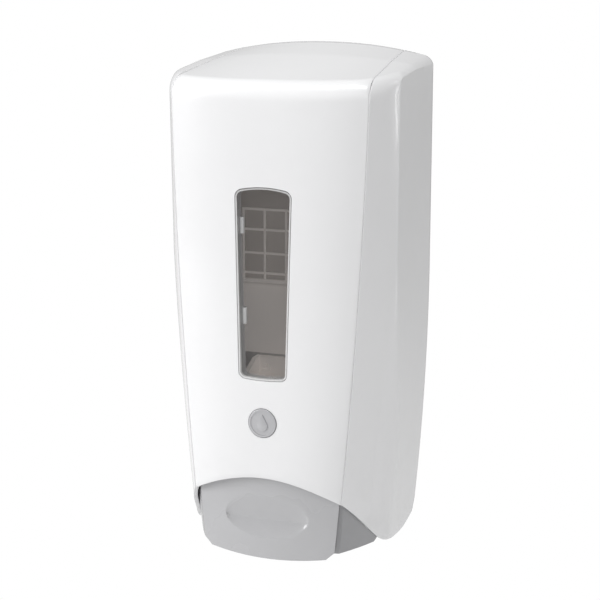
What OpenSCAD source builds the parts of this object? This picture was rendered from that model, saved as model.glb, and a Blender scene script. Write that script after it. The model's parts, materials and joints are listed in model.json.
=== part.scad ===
// Wall mounted soap dispenser with a hinged cover, a push lever and a sliding pump carriage.
// Millimetres. The wall is the plane y = 0, the front faces -Y and Z is up.
// The origin is the middle of the four wall screws.

/* [Shell] */
// Half of the shell's width over most of its height
half_width = 74; // [72:0.5:75]
// Height of the top centre above the origin at the wall
top_z = 158; // [156:0.5:160]
// Distance of the front face from the wall at the middle height
front_depth = 107.7; // [107:0.1:109]
// Wall thickness of the shell
wall = 2.6; // [2.2:0.1:2.8]
// Width of the seam between front and side panels
seam_gap = 0.4; // [0.3:0.05:0.6]

/* [Window] */
// Half width of the window at its top
window_top_half = 18.4; // [16:0.2:19]
// Half width of the window at its bottom
window_bottom_half = 15.8; // [13:0.2:16]
// Corner radius of the window
window_corner = 6.5; // [5:0.5:8]

/* [Mounting] */
// Distance between the wall screws across the plate
screw_spacing_x = 90; // [80:1:96]
// Distance between the wall screws up the plate
screw_spacing_z = 170; // [160:1:176]
// Radius of the wall screw holes
screw_hole_r = 2.6; // [2.2:0.1:3]

/* [Finish] */
// Colour of the cover
cover_colour = "#f2f2f4"; // color
// Colour of the push lever
lever_colour = "#c2c2c5"; // color

/* [Show] */
// Which sub-part to draw

/* [Hidden] */
$fn = 40;

// Hinge of the cover and hinge of the lever, as [y, z]
cover_axis = [-8, -146.5];
lever_axis = [-84, -92];
// Middle of the drive rollers, and the rods' distance from the wall
roller_at = [-39, -112];
rod_y = -22;
rod_x = 34;
// The arch at the bottom of the front panel
arch_z = -103.9;
arch_drop = 14.1;

// Outline of the shell ---------------------------------------------------

// Half width of the shell at the wall
function back_half(z) = half_width - (z < 20 ? pow(20 - z, 2) / 3520 : 0);
// Half width of the front panel at its seam
function seam_half(z) = 58.2 + 0.0567 * (z - 11) - 0.00013 * pow(z - 11, 2);
// Front face at the middle of the width
function front_y(z) = -front_depth + 0.0175 * z;
// Ridge between the corner face and the flat side, behind the front face
function ridge_y(z) = front_y(z) + 33 + (z < 31 ? 0.082 * (31 - z) : 0);
// Top surface
function top_at(x, y) =
    top_z - 18.5 * abs(y) / 95 - 9.2 * pow(abs(x) / 74, 2.2) * (1 - abs(y) / 95);

// Steps along half of a level outline: front, corner face, side
n_front = 6;
n_corner = 4;
n_side = 3;
n_half = n_front + n_corner + n_side;

// Point number j of the right half of the outline at height z
function half_point(z, j) =
    j <= n_front
    ? let (u = j / n_front, a = seam_half(z)) [a * u, front_y(z) + 8 * pow(u, 3)]
    : j <= n_front + n_corner
    ? let (
        t = (j - n_front) / n_corner,
        s = [seam_half(z), front_y(z) + 8],
        r = [back_half(z), ridge_y(z)],
        b = 1.6 * 4 * t * (1 - t)
      ) [s[0] + (r[0] - s[0]) * t + b * 0.9, s[1] + (r[1] - s[1]) * t - b * 0.4]
    : let (t = (j - n_front - n_corner) / n_side)
      [back_half(z), ridge_y(z) + (-0.6 - ridge_y(z)) * t];
function outline_point(z, j) =
    let (p = half_point(z, abs(j))) [j < 0 ? -p[0] : p[0], p[1]];
// Direction into the body at point j
function inward(z, j) =
    j >= n_half ? [-1, 0]
    : j <= -n_half ? [1, 0]
    : let (d = outline_point(z, j + 1) - outline_point(z, j - 1)) [-d[1], d[0]] / norm(d);
// Edge radius: large at the brow, smaller along the sides
function edge_r(j) =
    abs(j) <= n_front ? 13
    : 13 - 5 * min(1, (abs(j) - n_front) / (n_corner + 1));

n_wall = 7;
n_edge = 4;
n_top = 5;
edge_turn = 78;
low_z = -170;

// Row i, column j of the body's skin, set in by w
function skin_point(i, j, w) =
    let (
        inn = inward(128, j),
        r = edge_r(j),
        e0 = outline_point(128, j) + inn * (r * (1 - cos(edge_turn))),
        ze = top_at(e0[0], e0[1]) - r * sin(edge_turn)
    )
    i <= n_wall
    ? let (z = low_z + (ze - low_z) * i / n_wall, p = outline_point(z, j) + inward(z, j) * w)
      [p[0], j == n_half || j == -n_half ? -0.6 + w : p[1], z]
    : let (
        k = min(i - n_wall, n_edge),
        th = edge_turn * k / n_edge,
        rr = r - w,
        p = outline_point(ze, j) + inn * (w + rr * (1 - cos(th))),
        q = [p[0], j == n_half || j == -n_half ? -0.6 + w : p[1], ze + rr * sin(th)]
      )
      i <= n_wall + n_edge
      ? q
      : let (
          s = (i - n_wall - n_edge) / n_top,
          c = [0, -0.6 + w],
          g = [q[0] + (c[0] - q[0]) * s, q[1] + (c[1] - q[1]) * s]
        ) [g[0], g[1], top_at(g[0], g[1]) - w];

// Solid body of the shell, set in by w, from the bottom to the top surface
module body_solid(w) {
    cols = 2 * n_half + 1;
    rows = n_wall + n_edge + n_top;
    apex = rows * cols;
    pts = concat(
        [for (i = [0 : rows - 1]) for (j = [-n_half : n_half]) skin_point(i, j, w)],
        [skin_point(rows, 0, w), [0, -0.6 + w, 0], [0, -50, low_z]]
    );
    skin = [
        for (i = [0 : rows - 2]) for (j = [0 : cols - 2])
        for (f = [
            [i * cols + j, (i + 1) * cols + j, (i + 1) * cols + j + 1],
            [i * cols + j, (i + 1) * cols + j + 1, i * cols + j + 1]
        ]) f
    ];
    crown = [for (j = [0 : cols - 2]) [(rows - 1) * cols + j, apex, (rows - 1) * cols + j + 1]];
    rim = concat(
        [for (i = [0 : rows - 1]) (i + 1) * cols - 1],
        [apex],
        [for (i = [rows - 1 : -1 : 0]) i * cols]
    );
    back = [for (k = [0 : len(rim) - 1]) [rim[k], rim[(k + 1) % len(rim)], apex + 1]];
    base = [for (j = [0 : cols - 1]) [j, (j + 1) % cols, apex + 2]];
    polyhedron(points = pts, faces = concat(skin, crown, back, base));
}

// Walls of the shell, open at the wall side and at the bottom
module shell() {
    difference() {
        body_solid(0);
        body_solid(wall);
    }
}

// Region inside the two seams, narrowed by g on each side
module seam_region(g) {
    zs = [for (k = [0 : 10]) -172 + k * 33];
    translate([0, -95.5, 0])
    rotate([90, 0, 0])
    linear_extrude(30)
    polygon(concat(
        [for (z = zs) [seam_half(z) - g, z]],
        [for (k = [10 : -1 : 0]) [-seam_half(zs[k]) + g, zs[k]]]
    ));
    translate([0, 0, 118])
    linear_extrude(60)
    polygon([
        [-63.35 + g, -95.6], [63.35 - g, -95.6], [55 - g, 2], [-55 + g, 2]
    ]);
}

// Side view of what is left of the shell below: everything above this edge
module side_profile() {
    rotate([90, 0, 90])
    translate([0, 0, -100])
    linear_extrude(200)
    polygon(concat(
        [[-130, 200], [-130, -118], [-101.5, -118], [-71, -146]],
        [[-67.5, -149.2], [-63.5, -151.6], [-58, -153.4], [-48, -155.6]],
        [[-34, -157], [-22, -157]],
        [for (a = [-100 : 20 : -10])
            [cover_axis[0] + 7.2 * cos(a), cover_axis[1] + 7.2 * sin(a)]],
        [[-0.6, -142], [-0.6, 200]]
    ));
}

// Rounded polygon: corner points in turn, each rounded to radius r
function unit(v) = v / norm(v);
function round_corner(p, q, s, r) =
    let (
        u = unit(p - q),
        v = unit(s - q),
        half = acos(u * v) / 2,
        c = q + unit(u + v) * r / sin(half),
        a0 = atan2((q + u * r / tan(half) - c)[1], (q + u * r / tan(half) - c)[0]),
        a1 = atan2((q + v * r / tan(half) - c)[1], (q + v * r / tan(half) - c)[0]),
        turn = a1 - a0 > 180 ? a1 - a0 - 360 : a1 - a0 < -180 ? a1 - a0 + 360 : a1 - a0
    ) [for (k = [0 : 5]) c + r * [cos(a0 + turn * k / 5), sin(a0 + turn * k / 5)]];
function rounded(pts, r) =
    let (n = len(pts))
    [for (i = [0 : n - 1]) each round_corner(pts[(i + n - 1) % n], pts[i], pts[(i + 1) % n], r)];

// Window outline grown by g
module window_outline(g) {
    polygon(rounded([
        [-window_bottom_half - g, -42 - g], [window_bottom_half + g, -42 - g],
        [window_top_half + g, 74.6 + g], [-window_top_half - g, 74.6 + g]
    ], window_corner + g));
}
// A flat outline in x and z made into a plate from y0 back to y1
module upright(y0, y1) {
    translate([0, y1, 0])
    rotate([90, 0, 0])
    linear_extrude(y1 - y0)
    children();
}
// A flat outline in y and z made into a plate from x0 to x1
module sideways(x0, x1) {
    translate([x0, 0, 0])
    rotate([90, 0, 90])
    linear_extrude(x1 - x0)
    children();
}
module both_sides() {
    children();
    mirror([1, 0, 0]) children();
}
// Round bar along y or along x
module bar_y(x, z, y0, y1, r) {
    translate([x, y1, z]) rotate([90, 0, 0]) cylinder(h = y1 - y0, r = r);
}
module bar_x(y, z, x0, x1, r) {
    translate([x0, y, z]) rotate([0, 90, 0]) cylinder(h = x1 - x0, r = r);
}

// Fixed to the wall --------------------------------------------------------

module back_plate() {
    color("#d9d9db")
    difference() {
        union() {
            upright(-3, 0)
            polygon([
                [-52, -138], [52, -138], [62, -128], [66, -84], [69, -20], [69, 128],
                [60, 138], [-60, 138], [-69, 128], [-69, -20], [-66, -84], [-62, -128]
            ]);
            both_sides() {
                translate([66.5, -9, -20]) cube([2.5, 7, 146]);
                sideways(46, 51) {
                    translate(cover_axis) circle(r = 6.2);
                    polygon([[-14.2, -146.5], [-14.2, -132], [-9, -124], [0, -124], [0, -142], [-2, -146.5]]);
                }
            }
        }
        for (x = [-1, 1]) for (z = [-1, 1])
            bar_y(x * screw_spacing_x / 2, z * screw_spacing_z / 2, -8, 1, screw_hole_r);
        both_sides() bar_x(cover_axis[0], cover_axis[1], 40, 60, 3.02);
        for (x = [-38, -15, 15, 38]) bar_y(x, -62, -8, 1, 1.55);
        for (x = [-10, 10]) bar_y(x, 118, -8, 1, 1.55);
    }
}

grid_z = [47, 33.3, 17.4, 3.8];
module refill_backrest() {
    color("#8f8a86")
    difference() {
        union() {
            translate([-62, -5.4, -52]) cube([124, 2.2, 160]);
            for (x = [-53.55 : 15.3 : 54])
                translate([x - 0.7, -8.4, -1]) cube([1.4, 3.2, 48.8]);
            for (z = grid_z)
                translate([-54.25, -8.0, z - 0.8]) cube([108.5, 2.8, 1.6]);
            translate([-56, -11, -2.2]) cube([112, 6, 2]);
        }
        translate([16, -9, -9]) cube([22, 10, 5]);
        for (x = [-1, 1]) for (z = [-1, 1])
            bar_y(x * screw_spacing_x / 2, z * screw_spacing_z / 2, -8, 1, 6);
    }
}

module refill_cradle() {
    color("#d9d9db")
    difference() {
        union() {
            translate([-46, -84, -78]) cube([92, 80.7, 4.5]);
            translate([-46, -6.3, -78]) cube([92, 3, 24]);
            both_sides() {
                sideways(43, 46) polygon([[-60, -75], [-4, -75], [-4, -54], [-12, -54]]);
                translate([rod_x, rod_y, -78]) cylinder(h = 9, r = 6);
            }
        }
        translate([0, -56, -90]) cylinder(h = 30, r = 17);
        translate([-17, -96, -90]) cube([34, 40, 30]);
        both_sides() translate([rod_x, rod_y, -90]) cylinder(h = 18, r = 3.02);
        for (x = [-38, -15, 15, 38]) bar_y(x, -62, -10, 1, 1.55);
    }
}

module cradle_screws() {
    color("#b9bcc0")
    for (x = [-38, -15, 15, 38]) {
        bar_y(x, -62, -6.5, -0.4, 1.5);
        difference() {
            bar_y(x, -62, -8.6, -6.4, 3);
            translate([x - 2.2, -9.2, -62.4]) cube([4.4, 1.6, 0.8]);
            translate([x - 0.4, -9.2, -64.2]) cube([0.8, 1.6, 4.4]);
        }
    }
}

module guide_rods() {
    color("#c8cacd")
    both_sides() translate([rod_x, rod_y, -139.6]) cylinder(h = 67, r = 3);
}

module rod_bracket() {
    color("#d9d9db")
    difference() {
        union() {
            translate([-43, -29, -137]) cube([86, 25.7, 5]);
            translate([-43, -6.3, -137]) cube([86, 3, 20]);
            both_sides() translate([rod_x, rod_y, -141]) cylinder(h = 9, r = 6);
        }
        both_sides() translate([rod_x, rod_y, -139.8]) cylinder(h = 20, r = 3.02);
    }
}

module cover_hinge_pins() {
    color("#c8cacd")
    both_sides() {
        bar_x(cover_axis[0], cover_axis[1], 44.6, 60.6, 3);
        bar_x(cover_axis[0], cover_axis[1], 43, 44.8, 4.6);
    }
}

module lock_housing() {
    color("#d9d9db")
    difference() {
        translate([-14, -16.3, 110]) cube([28, 13, 22]);
        translate([-8.3, -13.3, 100]) cube([16.6, 5.6, 50]);
        for (x = [-10.9, 10.9]) bar_y(x, 121, -20, 0, 1.55);
    }
}

module lock_screws() {
    color("#b9bcc0")
    for (x = [-10.9, 10.9]) {
        bar_y(x, 121, -16.4, -3.2, 1.5);
        bar_y(x, 121, -18.4, -16.4, 2.8);
    }
}

module lock_bolt() {
    color("#8f9296")
    difference() {
        union() {
            translate([-8, -13, 100]) cube([16, 5, 37]);
            translate([-8, -17, 98]) cube([16, 9, 4]);
        }
        translate([-2, -14, 128]) cube([4, 7, 4]);
    }
}

// Cover --------------------------------------------------------------------

module front_panel() {
    color(cover_colour)
    difference() {
        union() {
            difference() {
                intersection() {
                    shell();
                    seam_region(seam_gap / 2);
                }
                upright(-120, -90) window_outline(0);
            }
            difference() {
                intersection() {
                    upright(-118, -99) window_outline(1.8);
                    body_solid(0);
                }
                upright(-120, -90) window_outline(0);
            }
            for (x = [-38, 38]) for (z = [98, -66])
                intersection() {
                    bar_y(x, z, -118, -99.2, 4.2);
                    body_solid(1);
                }
            intersection() {
                translate([-12, -7.6, 139]) cube([24, 2.6, 30]);
                body_solid(1);
            }
        }
        upright(-130, -60)
        polygon(concat(
            [[-62, -190]],
            [for (x = [-52 : 8 : 52]) [x, arch_z - arch_drop * pow(abs(x) / 48.6, 2)]],
            [[62, -190]]
        ));
        for (x = [-38, 38]) for (z = [98, -66]) bar_y(x, z, -102.8, -90, 1.55);
        bar_y(0, -68.6, -120, front_y(-68.6) + 1.3, 9.3);
    }
}

module side_panel_right() {
    intersection() {
        side_profile();
        union() {
            difference() {
                shell();
                seam_region(-seam_gap / 2);
                translate([-200, -200, -200]) cube([200, 400, 400]);
            }
            for (p = [[-89, 111], [-74, -88]])
                difference() {
                    intersection() {
                        bar_x(p[0], p[1], 55.3, 90, 4.2);
                        body_solid(1);
                    }
                    bar_x(p[0], p[1], 50, 61, 1.55);
                }
        }
    }
}
module right_side_panel() {
    color(cover_colour) side_panel_right();
}
module left_side_panel() {
    color(cover_colour) mirror([1, 0, 0]) side_panel_right();
}

// Half width of the window opening at height z
function window_half(z) =
    window_bottom_half + (window_top_half - window_bottom_half) * (z + 42) / 116.6;
clip_z = [52, -4];

module window_lens() {
    color("#8a827c", 0.6)
    difference() {
        union() {
            upright(-98.8, -97.2) window_outline(1.6);
            // Rim that lines the opening, just behind the front face
            intersection() {
                difference() {
                    upright(-118, -98.6) window_outline(-0.3);
                    upright(-119, -98) window_outline(-1.3);
                }
                body_solid(0.5);
            }
        }
        for (z = clip_z)
            translate([-window_half(z) - 4, -101.8, z - 5.4]) cube([5.5, 6.8, 10.8]);
    }
}

module window_retainer() {
    color("#e4e4e6") {
        difference() {
            upright(-97, -95) window_outline(4);
            upright(-100, -90) window_outline(-1.6);
        }
        for (z = clip_z) {
            translate([-window_half(z) + 0.4, -101.4, z - 5]) cube([0.9, 5.4, 10]);
            translate([-window_half(z) + 0.4, -101.4, z - 5]) cube([2.6, 2.3, 10]);
            translate([-window_half(z) - 1.4, -96.9, z - 5]) cube([2.7, 1.8, 10]);
        }
    }
}

module badge_plate() {
    z = -68.6;
    color("#c9ccd0") {
        bar_y(0, z, front_y(z) - 0.5, front_y(z) + 1.2, 9);
        upright(front_y(z) - 1, front_y(z) - 0.4) {
            translate([0, z - 1.6]) circle(r = 3.6);
            polygon([[-3.25, z - 0.1], [0, z + 6.4], [3.25, z - 0.1]]);
        }
    }
}

// Bar across the cover frame, bent back at its ends to stay inside the shell
module cross_bar(z, h, end_y) {
    translate([0, 0, z])
    linear_extrude(h)
    polygon([
        [-55, end_y], [-43.5, -99], [43.5, -99], [55, end_y],
        [55, end_y + 5], [42, -94], [-42, -94], [-55, end_y + 5]
    ]);
}

module cover_frame() {
    color("#dcdcde")
    difference() {
        union() {
            both_sides() {
                sideways(52, 55)
                polygon([
                    [-94, 10], [-94, 118], [-84, 118], [-84, -56], [-66, -78], [-30, -104],
                    [-14.4, -134], [-8, -140], [-2, -146.5], [-8, -152.6], [-14, -150],
                    [-32, -140], [-42, -104], [-60, -100], [-89, -100]
                ]);
                bar_x(cover_axis[0], cover_axis[1], 52, 59, 6.2);
            }
            cross_bar(92, 12, -93);
            cross_bar(-71, 10, -90.4);
            both_sides() bar_x(lever_axis[0], lever_axis[1], 51, 55, 6);
        }
        both_sides() {
            bar_x(cover_axis[0], cover_axis[1], 40, 70, 3.06);
            bar_x(lever_axis[0], lever_axis[1], 40, 70, 2.52);
            for (p = [[-89, 111], [-74, -88]]) bar_x(p[0], p[1], 45, 60, 1.6);
        }
        for (x = [-38, 38]) for (z = [98, -66]) bar_y(x, z, -105, -80, 1.6);
    }
}

module front_panel_screws() {
    color("#b9bcc0")
    for (x = [-38, 38]) for (z = [98, -66]) {
        bar_y(x, z, -102.6, -93.8, 1.5);
        bar_y(x, z, -93.9, -92, 3);
    }
}

module side_panel_screws() {
    color("#b9bcc0")
    both_sides()
    for (p = [[-89, 111], [-74, -88]]) {
        bar_x(p[0], p[1], 51.8, 60.5, 1.5);
        bar_x(p[0], p[1], 49.9, 51.9, 3);
    }
}

module lever_hinge_pins() {
    color("#c8cacd")
    both_sides() {
        bar_x(lever_axis[0], lever_axis[1], 42.6, 55.4, 2.5);
        bar_x(lever_axis[0], lever_axis[1], 41, 42.8, 4);
    }
}

// Lever --------------------------------------------------------------------

// Centre of the lever's large front radius
lever_bow = 182;
lever_front = -104.5;
lever_bow_y = lever_front + lever_bow;

// The lever's bowed sheet between two radii, cut to a flat outline
module lever_band(r0, r1) {
    intersection() {
        translate([0, lever_bow_y, -170])
        difference() {
            cylinder(h = 100, r = r0, $fn = 180);
            translate([0, 0, -1]) cylinder(h = 102, r = r1, $fn = 180);
        }
        upright(-110, -90) children();
    }
}

module push_lever() {
    color(lever_colour)
    difference() {
        union() {
            lever_band(lever_bow, lever_bow - 3)
            polygon([
                [-44, -96], [-46.4, -120], [-43.6, -151], [-41.6, -154.4], [-28, -156.4],
                [-14, -157.6], [0, -158], [14, -157.6], [28, -156.4], [41.6, -154.4],
                [43.6, -151], [46.4, -120], [44, -96]
            ]);
            intersection() {
                translate([-30, -103, -146]) cube([60, 6.4, 32]);
                translate([0, lever_bow_y, -170]) cylinder(h = 100, r = lever_bow - 1, $fn = 180);
            }
        }
        translate([0, lever_front - 15.4, -130.2])
        rotate([0, 90, 0])
        rotate_extrude($fn = 60)
        intersection() {
            translate([-53, 0]) circle(r = 73, $fn = 120);
            translate([0, -40]) square([40, 80]);
        }
        both_sides() bar_y(37, -101.5, -99.9, -96, 1.55);
    }
}

module lever_core() {
    color("#9a9a9d")
    difference() {
        union() {
            intersection() {
                lever_band(lever_bow - 3.2, lever_bow - 5.4)
                polygon([[-46.5, -90], [46.5, -90], [48.5, -111], [45.6, -152], [-45.6, -152], [-48.5, -111]]);
                body_solid(3.9);
            }
            both_sides() {
                intersection() {
                    difference() {
                        body_solid(3.9);
                        body_solid(5.9);
                    }
                    sideways(44, 80)
                    polygon([[-95.2, -110], [-95.2, -152], [-68, -152], [-62.5, -147], [-62.5, -110]]);
                }
                sideways(45, 50.4) {
                    translate(lever_axis) circle(r = 5.6);
                    polygon([[-94.6, -90], [-84, -90], [-84, -97.5], [-90, -108], [-94.6, -108]]);
                }
                sideways(24, 28)
                polygon([
                    [-98.6, -90], [-84, -88], [-62, -98], [-52, -107.6], [-39, -107.8],
                    [-35, -110], [-35, -114], [-39, -116], [-54, -114.5], [-84, -108], [-98, -112]
                ]);
            }
        }
        upright(-110, -90) polygon([[-31, -113], [31, -113], [31, -147.5], [-31, -147.5]]);
        both_sides() {
            bar_x(lever_axis[0], lever_axis[1], 30, 60, 2.56);
            bar_x(roller_at[0], roller_at[1], 20, 40, 2.02);
            bar_y(37, -101.5, -108, -80, 1.6);
        }
    }
}

module lever_screws() {
    color("#b9bcc0")
    both_sides() {
        bar_y(37, -101.5, -99.6, -94.4, 1.5);
        bar_y(37, -101.5, -94.5, -92.6, 2.8);
    }
}

module drive_rollers() {
    color("#f4f2ea")
    both_sides()
    difference() {
        bar_x(roller_at[0], roller_at[1], 28.4, 35.6, 5);
        bar_x(roller_at[0], roller_at[1], 20, 40, 2.08);
    }
}

module roller_pins() {
    color("#c8cacd")
    both_sides() {
        bar_x(roller_at[0], roller_at[1], 23.2, 36.2, 2);
        bar_x(roller_at[0], roller_at[1], 36.1, 37.4, 3);
    }
}

// Pump carriage ----------------------------------------------------------------

module pump_carriage() {
    color("#e8e8ea")
    difference() {
        union() {
            translate([-43.5, -47, -106.7]) cube([87, 33, 5]);
            translate([-21, -76, -106.7]) cube([42, 34, 5]);
            both_sides() {
                translate([rod_x, rod_y, -113]) cylinder(h = 13, r = 6.6);
                sideways(41, 43.5) polygon([[-47, -103], [-14, -103], [-14, -96], [-40, -99]]);
            }
        }
        translate([0, -58, -120]) cylinder(h = 30, r = 10);
        translate([-10, -90, -120]) cube([20, 32, 30]);
        both_sides() translate([rod_x, rod_y, -130]) cylinder(h = 60, r = 3.06);
    }
}

// Compression spring: a round wire swept along a helix
spring_turns = 5;
spring_steps = 14;
wire_sides = 6;
module spring(z0, z1, r, wire) {
    n = spring_turns * spring_steps;
    pts = [
        for (i = [0 : n]) for (k = [0 : wire_sides - 1])
        let (
            a = 360 * i / spring_steps,
            z = z0 + (z1 - z0) * i / n,
            b = 360 * k / wire_sides,
            q = r + wire * cos(b)
        ) [q * cos(a), q * sin(a), z + wire * sin(b)]
    ];
    sides = [
        for (i = [0 : n - 1]) for (k = [0 : wire_sides - 1])
        let (m = (k + 1) % wire_sides)
        for (f = [
            [i * wire_sides + k, (i + 1) * wire_sides + m, (i + 1) * wire_sides + k],
            [i * wire_sides + k, i * wire_sides + m, (i + 1) * wire_sides + m]
        ]) f
    ];
    first = [for (k = [wire_sides - 1 : -1 : 0]) k];
    last = [for (k = [0 : wire_sides - 1]) n * wire_sides + k];
    polyhedron(points = pts, faces = concat(sides, [first, last]));
}
module carriage_springs() {
    color("#a9acb0")
    both_sides() translate([rod_x, rod_y, 0]) spring(-99, -79, 4.9, 0.6);
}

back_plate();
refill_backrest();
refill_cradle();
cradle_screws();
guide_rods();
rod_bracket();
cover_hinge_pins();
lock_housing();
lock_screws();
lock_bolt();
front_panel();
left_side_panel();
right_side_panel();
window_lens();
window_retainer();
badge_plate();
cover_frame();
front_panel_screws();
side_panel_screws();
lever_hinge_pins();
push_lever();
lever_core();
lever_screws();
drive_rollers();
roller_pins();
pump_carriage();
carriage_springs();
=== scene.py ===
import json
import math

import bpy
from bpy.props import FloatProperty, FloatVectorProperty, PointerProperty
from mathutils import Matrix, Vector


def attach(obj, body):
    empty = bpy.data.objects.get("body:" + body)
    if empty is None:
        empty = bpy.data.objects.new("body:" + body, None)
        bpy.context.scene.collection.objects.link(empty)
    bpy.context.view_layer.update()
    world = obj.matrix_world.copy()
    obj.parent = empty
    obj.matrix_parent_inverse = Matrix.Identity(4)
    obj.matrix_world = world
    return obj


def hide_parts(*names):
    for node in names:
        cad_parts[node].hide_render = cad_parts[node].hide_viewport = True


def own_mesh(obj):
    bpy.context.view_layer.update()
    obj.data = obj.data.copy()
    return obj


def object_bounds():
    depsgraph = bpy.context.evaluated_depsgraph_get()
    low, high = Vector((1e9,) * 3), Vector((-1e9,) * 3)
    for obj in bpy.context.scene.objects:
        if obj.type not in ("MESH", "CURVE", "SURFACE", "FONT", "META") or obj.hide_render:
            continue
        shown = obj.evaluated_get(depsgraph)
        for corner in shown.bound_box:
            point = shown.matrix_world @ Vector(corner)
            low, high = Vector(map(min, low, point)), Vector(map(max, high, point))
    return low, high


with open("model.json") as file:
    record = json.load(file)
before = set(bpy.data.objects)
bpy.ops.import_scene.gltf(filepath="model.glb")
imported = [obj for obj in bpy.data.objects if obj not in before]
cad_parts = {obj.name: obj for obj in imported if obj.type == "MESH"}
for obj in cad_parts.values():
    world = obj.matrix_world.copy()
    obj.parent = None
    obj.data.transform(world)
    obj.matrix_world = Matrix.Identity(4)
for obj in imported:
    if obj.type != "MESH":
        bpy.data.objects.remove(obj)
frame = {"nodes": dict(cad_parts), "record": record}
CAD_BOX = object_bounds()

bl_info = {
    "name": "Wall soap dispenser",
    "version": (1, 0, 0),
    "blender": (4, 5, 0),
    "location": "View3D > Sidebar > Dispenser",
    "description": "Builds the shell, window, lever and inner parts of a wall soap dispenser",
    "category": "Object",
}

MM = 0.001
# Vertices nearer than this, in metres, count as one
MERGE_GAP = 0.00002


# --- Shader toolkit -------------------------------------------------------------------


class Signal:
    """One output socket that takes part in Python arithmetic."""

    def __init__(self, finish, out):
        self.finish = finish
        self.out = out

    def math(self, operation, first, second):
        return self.finish.node(
            "ShaderNodeMath", {"operation": operation}, {0: first, 1: second}
        )

    def __add__(self, other):
        return self.math("ADD", self, other)

    def __rsub__(self, other):
        return self.math("SUBTRACT", other, self)

    def __mul__(self, other):
        return self.math("MULTIPLY", self, other)

    def clamp(self):
        """The same number held between 0 and 1."""
        return self.finish.node(
            "ShaderNodeMath",
            {"operation": "ADD", "use_clamp": True},
            {0: self, 1: 0.0},
        )


class Finish:
    """A material built node by node around one Principled shader."""

    def __init__(self, name):
        self.material = bpy.data.materials.new(name)
        self.material.use_nodes = True
        self.tree = self.material.node_tree
        self.shader = self.tree.nodes["Principled BSDF"]
        self.place = self.node("ShaderNodeTexCoord", out="Object")

    def node(self, kind, settings=None, sockets=None, out=0):
        """Adds a node: settings first, then values or links, and returns one output."""
        made = self.tree.nodes.new(kind)
        for key, value in (settings or {}).items():
            setattr(made, key, value)
        for key, value in (sockets or {}).items():
            self.feed(made.inputs[key], value)
        return Signal(self, made.outputs[out])

    def feed(self, socket, value):
        """Links a signal to the socket, or sets the socket's own value."""
        if isinstance(value, Signal):
            self.tree.links.new(value.out, socket)
        else:
            socket.default_value = value

    def set(self, **values):
        """Sets or links the Principled shader's sockets by their names."""
        for key, value in values.items():
            self.feed(self.shader.inputs[key.replace("_", " ")], value)

    def noise(self, scale, detail=3.0, rough=0.5, stretch=None):
        """Fractal noise in object space, as a number about one half."""
        at = self.place
        if stretch:
            at = self.node("ShaderNodeMapping", None, {"Vector": at, "Scale": stretch})
        return self.node(
            "ShaderNodeTexNoise",
            None,
            {"Vector": at, "Scale": scale, "Detail": detail, "Roughness": rough},
            out="Fac",
        )

    def blend(self, mask, first, second):
        """A colour that goes from first to second with the mask."""
        def rgba(c):
            return c if isinstance(c, Signal) else (*c, 1.0)

        return self.node(
            "ShaderNodeMix",
            {"data_type": "RGBA"},
            {0: mask, 6: rgba(first), 7: rgba(second)},
            out=2,
        )

    def steps(self, mask, low, high):
        """The mask stretched so that low becomes 0 and high becomes 1."""
        return self.node(
            "ShaderNodeMapRange",
            {"clamp": True, "interpolation_type": "SMOOTHSTEP"},
            {"Value": mask, "From Min": low, "From Max": high},
        )

    def height(self):
        """Height above the origin in metres."""
        return self.node("ShaderNodeSeparateXYZ", None, {0: self.place}, out=2)

    def depth(self):
        """Distance along Y from the wall in metres, negative towards the front."""
        return self.node("ShaderNodeSeparateXYZ", None, {0: self.place}, out=1)

    def edges(self, radius):
        """A mask that is near 1 along convex and concave edges."""
        soft = self.node("ShaderNodeBevel", {"samples": 4}, {"Radius": radius})
        true = self.node("ShaderNodeNewGeometry", out="Normal")
        same = self.node(
            "ShaderNodeVectorMath", {"operation": "DOT_PRODUCT"}, {0: soft, 1: true}, out=1
        )
        return self.steps(1.0 - same, 0.004, 0.06)

    def relief(self, height, strength, distance, rounded=None):
        """Bump from a height, over edges rounded in the shading."""
        sockets = {"Strength": strength, "Distance": distance, "Height": height}
        if rounded:
            sockets["Normal"] = self.node(
                "ShaderNodeBevel", {"samples": 6}, {"Radius": rounded}
            )
        self.set(Normal=self.node("ShaderNodeBump", None, sockets))


def gloss_plastic(name, tint, shade, rough, rounded=None, low_darkening=0.0):
    """Injection moulded gloss plastic: slight mottling, orange peel, handling haze."""
    fin = Finish(name)
    cloud = fin.noise(9.0, 4.0)
    fine = fin.noise(140.0, 2.0)
    body = fin.blend(fin.steps(cloud + fine * 0.25, 0.35, 0.95), tint, shade)
    if low_darkening:
        # Patchy darkening towards the bottom of the piece
        low = fin.steps(fin.height(), -0.06, -0.155) * fin.steps(fin.noise(55.0, 6.0), 0.4, 0.75)
        body = fin.blend(low * low_darkening, body, tuple(c * 0.8 for c in tint))
    haze = fin.steps(fin.noise(16.0, 3.0), 0.2, 0.85)
    fin.set(Base_Color=body, Roughness=haze * 0.05 + rough, IOR=1.5)
    fin.set(Coat_Weight=0.45, Coat_Roughness=0.05)
    fin.relief(fin.noise(420.0, 2.0) + fin.noise(60.0, 1.0) * 0.15, 0.08, 0.0002, rounded)
    return fin.material


def matt_plastic(name, tint, shade, rough):
    """Fine eroded texture on an inner moulding, lighter where its edges rub."""
    fin = Finish(name)
    cloud = fin.steps(fin.noise(14.0, 4.0), 0.3, 0.72)
    body = fin.blend(cloud, tint, shade)
    worn = fin.edges(0.0006) * fin.steps(fin.noise(70.0, 4.0), 0.38, 0.7)
    bright = tuple(min(1.0, c * 1.25 + 0.03) for c in tint)
    fin.set(Base_Color=fin.blend(worn * 0.6, body, bright))
    fin.set(Roughness=fin.noise(40.0, 3.0) * 0.12 + rough, IOR=1.49)
    fin.relief(fin.noise(900.0, 2.0), 0.28, 0.00025)
    return fin.material


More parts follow.
